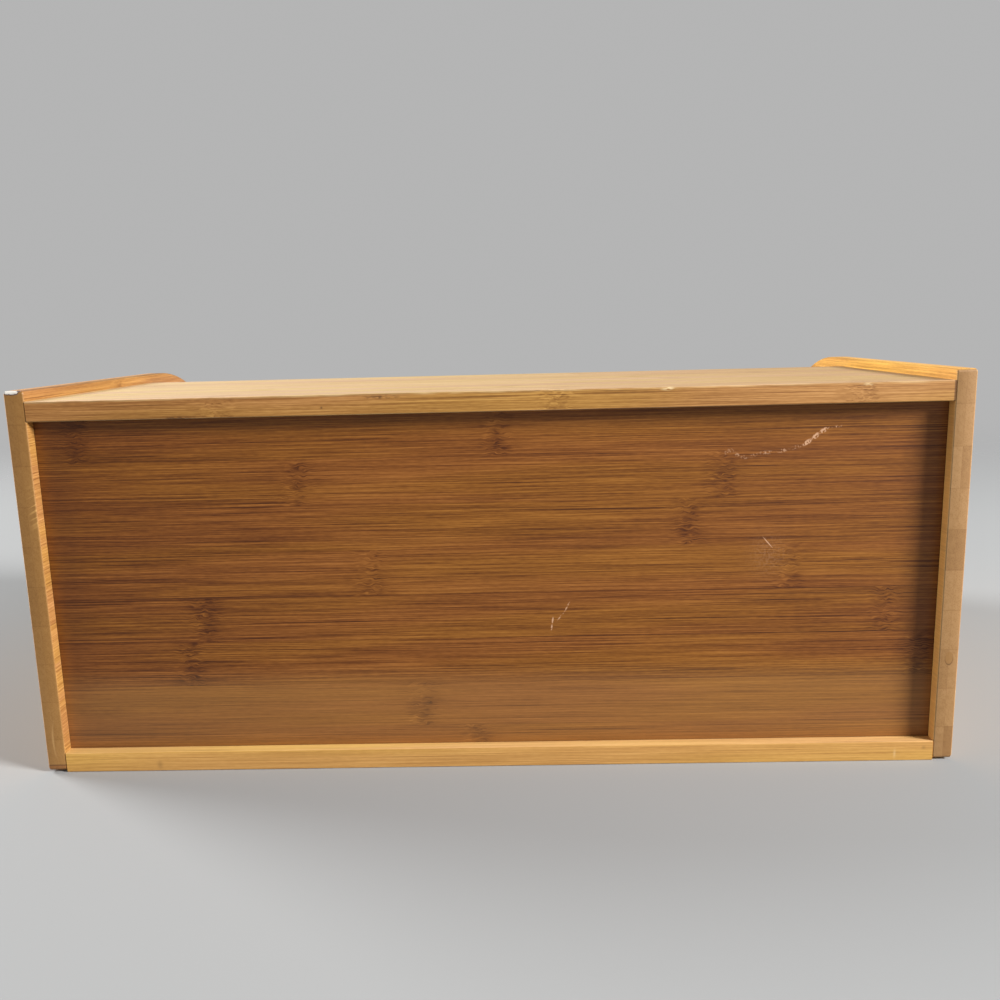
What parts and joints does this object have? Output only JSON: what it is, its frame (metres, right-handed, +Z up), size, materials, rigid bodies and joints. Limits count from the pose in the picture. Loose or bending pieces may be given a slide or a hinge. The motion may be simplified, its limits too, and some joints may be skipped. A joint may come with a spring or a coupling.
{
  "type": "roll-top bread box",
  "caption": "Bamboo bread box with two shaped side panels, a flat top shelf, a panelled back and a tambour door of cloth-backed slats that rolls up inside it.",
  "frame": {"origin": "middle of the footprint of the carcass, on the plane that the box stands on", "axes": "+X along the width, to the right as seen from the front; -Y to the front, where the tambour and its knob are; +Z up"},
  "size_m": [0.4, 0.2903, 0.17],
  "materials": {
    "honey_bamboo": "laminated bamboo boards, clear satin lacquer",
    "caramel_bamboo": "carbonised bamboo panel, thin satin lacquer",
    "tambour_bamboo": "bamboo strips, clear satin lacquer",
    "canvas": "unbleached plain-weave cotton canvas, glued",
    "dowel_wood": "plain birch dowel",
    "screw_steel": "zinc-plated steel"
  },
  "bodies": {
    "carcass": {"left_side_panel": "honey_bamboo", "right_side_panel": "honey_bamboo", "top_board": "honey_bamboo", "bottom_board": "honey_bamboo", "back_panel": "caramel_bamboo", "top_board_dowels": "dowel_wood", "bottom_board_dowels": "dowel_wood"},
    "tambour": {"lead_rail": "tambour_bamboo", "slat_01": "tambour_bamboo", "slat_02": "tambour_bamboo", "slat_03": "tambour_bamboo", "slat_04": "tambour_bamboo", "slat_05": "tambour_bamboo", "slat_06": "tambour_bamboo", "slat_07": "tambour_bamboo", "slat_08": "tambour_bamboo", "slat_09": "tambour_bamboo", "slat_10": "tambour_bamboo", "slat_11": "tambour_bamboo", "slat_12": "tambour_bamboo", "slat_13": "tambour_bamboo", "slat_14": "tambour_bamboo", "slat_15": "tambour_bamboo", "canvas_backing": "canvas", "knob": "tambour_bamboo", "knob_screw": "screw_steel"}
  },
  "joints": [
    {"name": "tambour_roll", "type": "hinge", "parent": "carcass", "child": "tambour", "pos_m": [0, -0.00205, 0.02825], "axis": [-1, 0, 0], "range_deg": [0, 89.2]}
  ]
}
